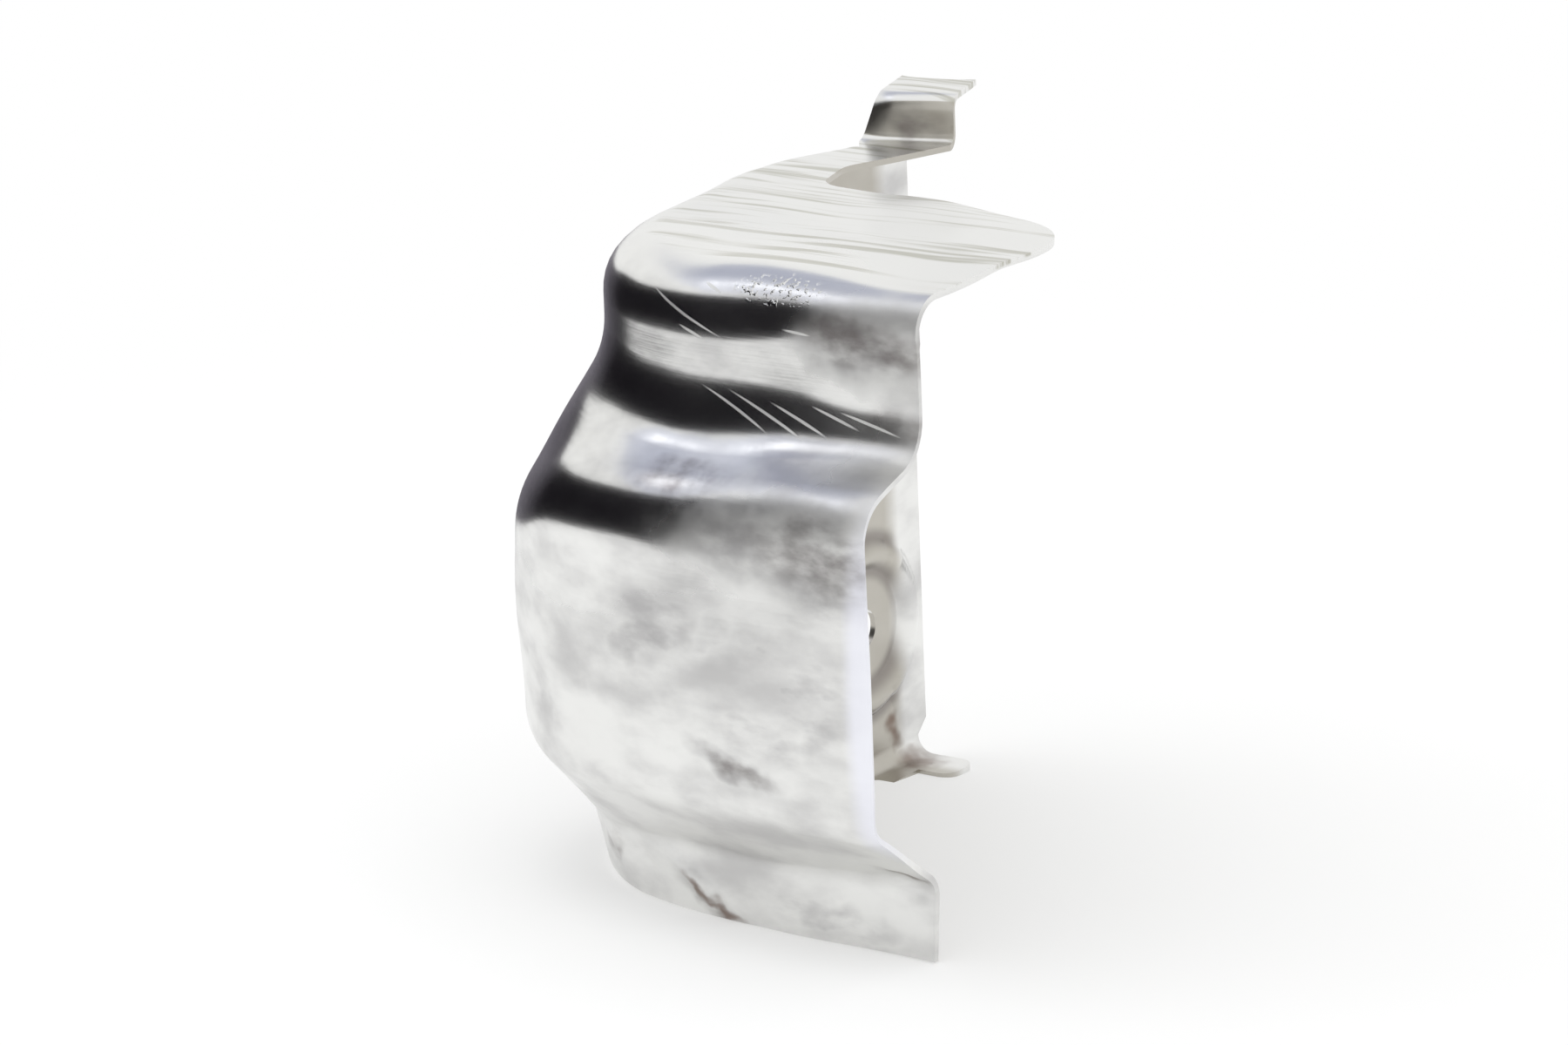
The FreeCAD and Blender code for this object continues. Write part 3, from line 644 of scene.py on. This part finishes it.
# colour: clean sheet, then clouded, streaked, painted shade inside, a painted highlight at the lip,
# darker patches and painted shade in the creases, painted shade at the bead's foot, stained and scratched
colour = None
for share, name in ((dull, "clouded"), (shares["streak"], "streak"), (shares["inside"], "inside"),
                    (shares["lipHighlight"], "lipHighlight"), (shares["darkPatchAndShade"], "darkPatchAndShade"), (shares["beadFootShade"], "darkPatchAndShade"),
                    (shares["stain"], "stain"), (shares["scratch"], "scratch")):
    mix = addNode(tree, "ShaderNodeMix", {"data_type": "RGBA", "in6": linear(aluminium["clean"]),
                                          "in7": linear(aluminium[name])}, in0=share)
    if colour:
        tree.links.new(colour, mix.inputs[6])
    colour = mix.outputs[2]
tree.links.new(colour, shader.inputs["Base Color"])

# roughness: polished where drawn, more where clouded, scuffed or inside, and a set value in a scratch
rough = addNode(tree, "ShaderNodeMath", {"operation": "MULTIPLY_ADD", "in1": aluminium["roughCloud"],
                                         "in2": aluminium["roughHandled"]}, in0=dull).outputs[0]
for share, name in (("drawn", "roughDrawn"), ("scuffed", "roughScuffed"), ("inside", "roughInside"),
                    ("scratch", "roughScratch")):
    rough = addNode(tree, "ShaderNodeMix", {"data_type": "FLOAT", "in3": aluminium[name]}, in0=shares[share],
                    in2=rough).outputs[0]
tree.links.new(rough, shader.inputs["Roughness"])

pitHeight = addNode(tree, "ShaderNodeMath", {"operation": "MULTIPLY"}, in0=shares["dots"], in1=masks["pits"])
heights = {"roll": noises["roll"]["Fac"], "peel": noises["peel"]["Fac"], "pits": pitHeight.outputs[0]}
bump = None
for name, (depth, strength) in relief.items():
    nextBump = addNode(tree, "ShaderNodeBump", {"Strength": strength, "Distance": depth * mm},
                       Height=heights[name])
    if bump:
        tree.links.new(bump, nextBump.inputs["Normal"])
    bump = nextBump.outputs[0]
tree.links.new(bump, shader.inputs["Normal"])
shield.data.materials.append(material)
print("material:", material.name, "with", len(tree.nodes), "nodes")


# floor, cards, light and camera

def stageSurface(name, surface, look):  # a grid of points in millimetres, as a piece of the stage
    numbers = np.arange(surface.shape[0] * surface.shape[1]).reshape(surface.shape[:2])
    stagePoints, stageQuads = surface.reshape(-1, 3) * mm, gridQuads(numbers).reshape(-1, 4)
    stageMesh = bpy.data.meshes.new(name)
    stageMesh.from_pydata(stagePoints.tolist(), [], stageQuads.tolist())
    stageMesh.polygons.foreach_set("use_smooth", np.ones(len(stageMesh.polygons), bool))
    stageMesh.materials.append(look)
    stageObject = bpy.data.objects.new(name, stageMesh)
    bpy.context.scene.collection.objects.link(stageObject)
    return stageObject


def seenShare(tree):  # 1 for what the camera, a mirror or glass sees
    path = addNode(tree, "ShaderNodeLightPath").outputs
    seen = path["Is Camera Ray"]
    for ray in ("Is Glossy Ray", "Is Transmission Ray"):
        seen = addNode(tree, "ShaderNodeMath", {"operation": "MAXIMUM"}, in0=seen, in1=path[ray]).outputs[0]
    return seen


# lean, and where it levels out; white shows by this share near the part, and fully past "whiteTo"
ground = {"lean": 0.0905, "level": 150.0, "middleY": -37.0, "middleZ": -22.9, "half": 6000.0, "steps": 161,
          "bunching": 6.0, "colour": "#f5f5f3", "white": "#ffffff",
          "whiteNear": 0.42, "whiteFrom": 90.0, "whiteTo": 420.0}

# points bunch at the part by a sinh, and the floor leans under it, so that skirt and foot both stand on it,
# and levels out away from it by a tanh
along = np.sinh(np.linspace(-1.0, 1.0, ground["steps"]) * ground["bunching"]) / math.sinh(ground["bunching"])
along = along * ground["half"]
floorX, floorY = np.meshgrid(along, along + ground["middleY"], indexing="ij")
levelled = ground["level"] * np.tanh((floorY - ground["middleY"]) / ground["level"])
floorZ = ground["middleZ"] - ground["lean"] * levelled
floorMaterial, tree = newMaterial("pale_floor")
out = addNode(tree, "ShaderNodeOutputMaterial")
matt = addNode(tree, "ShaderNodeBsdfDiffuse", {"Color": linear(ground["colour"])}).outputs[0]
white = addNode(tree, "ShaderNodeEmission", {"Color": linear(ground["white"]), "Strength": 1.0}).outputs[0]
coords = addNode(tree, "ShaderNodeTexCoord").outputs["Object"]
away = addNode(tree, "ShaderNodeVectorMath", {"operation": "LENGTH"}, in0=coords).outputs["Value"]
far = addNode(tree, "ShaderNodeMapRange", {
    "From Min": ground["whiteFrom"] * mm, "From Max": ground["whiteTo"] * mm, "To Min": ground["whiteNear"],
    "interpolation_type": "SMOOTHSTEP"}, Value=away).outputs[0]
share = addNode(tree, "ShaderNodeMath", {"operation": "MULTIPLY"}, in0=seenShare(tree), in1=far).outputs[0]
mix = addNode(tree, "ShaderNodeMixShader", in0=share, in1=matt, in2=white).outputs[0]
tree.links.new(mix, out.inputs[0])
stageSurface("floor", np.stack([floorX, floorY, floorZ], axis=-1), floorMaterial)

# cards out of the camera's sight that the bends pick up: degrees round to the left from straight in front,
# and there the distance, lower edge and upper edge; the colour fades to the other between two values of y
cards = {
    "dark_card": {"turns": (16.0, 45.0, 85.0, 105.0, 140.0), "reach": (470.0, 470.0, 400.0, 300.0, 250.0),
                  "low": (-60.0,) * 5, "top": (560.0, 540.0, 235.0, 105.0, 48.0),
                  "colour": "#18161a", "farColour": "#7f7b84", "fade": (-15.0, 120.0)},
    "blue_card": {"turns": (50.0, 106.0, 120.0, 142.0), "reach": (1500.0,) * 4,
                  "low": (1600.0, 1400.0, 1230.0, 930.0), "top": (2700.0,) * 4,
                  "colour": "#e6e9f6", "farColour": "#b4b8ca", "fade": (-250.0, 350.0)},
}
cardCentre, cardSteps = (31.0, -47.0), 40

for name, card in cards.items():
    degrees = np.linspace(card["turns"][0], card["turns"][-1], cardSteps)
    reach, low, top = (np.interp(degrees, card["turns"], card[key]) for key in ("reach", "low", "top"))
    turned = np.radians(degrees)
    cardX, cardY = cardCentre[0] - reach * np.sin(turned), cardCentre[1] - reach * np.cos(turned)
    surface = np.stack([np.stack([cardX, cardY, edge], axis=-1) for edge in (low, top)], axis=1)
    cardMaterial, tree = newMaterial(name)
    out = addNode(tree, "ShaderNodeOutputMaterial")
    coords = addNode(tree, "ShaderNodeTexCoord").outputs["Object"]
    toBack = addNode(tree, "ShaderNodeSeparateXYZ", Vector=coords).outputs["Y"]
    share = addNode(tree, "ShaderNodeMapRange", {
        "From Min": card["fade"][0] * mm, "From Max": card["fade"][1] * mm}, Value=toBack).outputs[0]
    shade = addNode(tree, "ShaderNodeMix", {"data_type": "RGBA", "in6": linear(card["colour"]),
                                            "in7": linear(card["farColour"])}, in0=share).outputs[2]
    plain = addNode(tree, "ShaderNodeEmission", {"Strength": 1.0}, Color=shade).outputs[0]
    tree.links.new(plain, out.inputs[0])
    hung = stageSurface(name, surface, cardMaterial)
    hung.visible_camera, hung.visible_shadow, hung.visible_diffuse = False, False, False

# world: a plain white room, a little less for the light it gives than for what is seen of it
room = {"colour": "#fafaf9", "lit": 0.75, "seen": 1.0}
world = bpy.data.worlds.new("studio")
bpy.context.scene.world = world
world.use_nodes = True
tree = world.node_tree
tree.nodes.clear()
out = addNode(tree, "ShaderNodeOutputWorld")
strength = addNode(tree, "ShaderNodeMapRange", {"To Min": room["lit"], "To Max": room["seen"]},
                   Value=seenShare(tree)).outputs[0]
sky = addNode(tree, "ShaderNodeBackground", {"Color": linear(room["colour"])}, Strength=strength).outputs[0]
tree.links.new(sky, out.inputs[0])

# lamps: size in metres, watts, colour, place and aim in metres, and whether the metal mirrors them
lamps = {
    "softbox": {"size": (2.6, 2.6), "watts": 22.0, "colour": "#f8f9ff", "place": (0.1, -0.3, 1.5),
                "aim": (0.24, 0.03, 0.0), "mirrored": False},
    "glint": {"size": (0.30, 0.15), "watts": 0.16, "colour": "#ffffff", "place": (-0.634, -0.261, 1.053),
              "aim": (0.03, -0.08, 0.06), "mirrored": True},
}
for name, lamp in lamps.items():
    light = bpy.data.lights.new(name, "AREA")
    light.shape = "RECTANGLE"
    light.size, light.size_y = lamp["size"]
    light.energy = lamp["watts"]
    light.color = linear(lamp["colour"])[:3]
    lightObject = bpy.data.objects.new(name, light)
    lightObject.location = lamp["place"]
    aim = Vector(lamp["aim"]) - Vector(lamp["place"])
    lightObject.rotation_euler = aim.to_track_quat("-Z", "Y").to_euler()
    lightObject.visible_glossy = lamp["mirrored"]
    bpy.context.scene.collection.objects.link(lightObject)

# camera: where the photograph was taken from, by its own axes, with the lens and sensor in millimetres
view = {"place": (489.565, -703.936, 274.389), "right": (0.81915, 0.57218, -0.04001),
        "back": (0.5582, -0.7792, 0.28505), "lens": 121.62, "sensor": 36.0, "clip": (10.0, 50000.0)}
right = np.array(view["right"]) / np.linalg.norm(view["right"])
back = np.array(view["back"])
back = back - right * (back @ right)
back = back / np.linalg.norm(back)
stand = np.eye(4)
stand[:3] = np.stack([right, np.cross(back, right), back, np.array(view["place"]) * mm], axis=1)
lens = bpy.data.cameras.new("camera")
lens.lens = view["lens"]
lens.sensor_width = view["sensor"]
lens.sensor_fit = "HORIZONTAL"
lens.clip_start, lens.clip_end = (limit * mm for limit in view["clip"])
camera = bpy.data.objects.new("camera", lens)
camera.matrix_world = Matrix(stand.tolist())
bpy.context.scene.collection.objects.link(camera)
bpy.context.scene.camera = camera
bpy.context.scene.view_settings.view_transform = "Standard"
print("stage and camera placed")
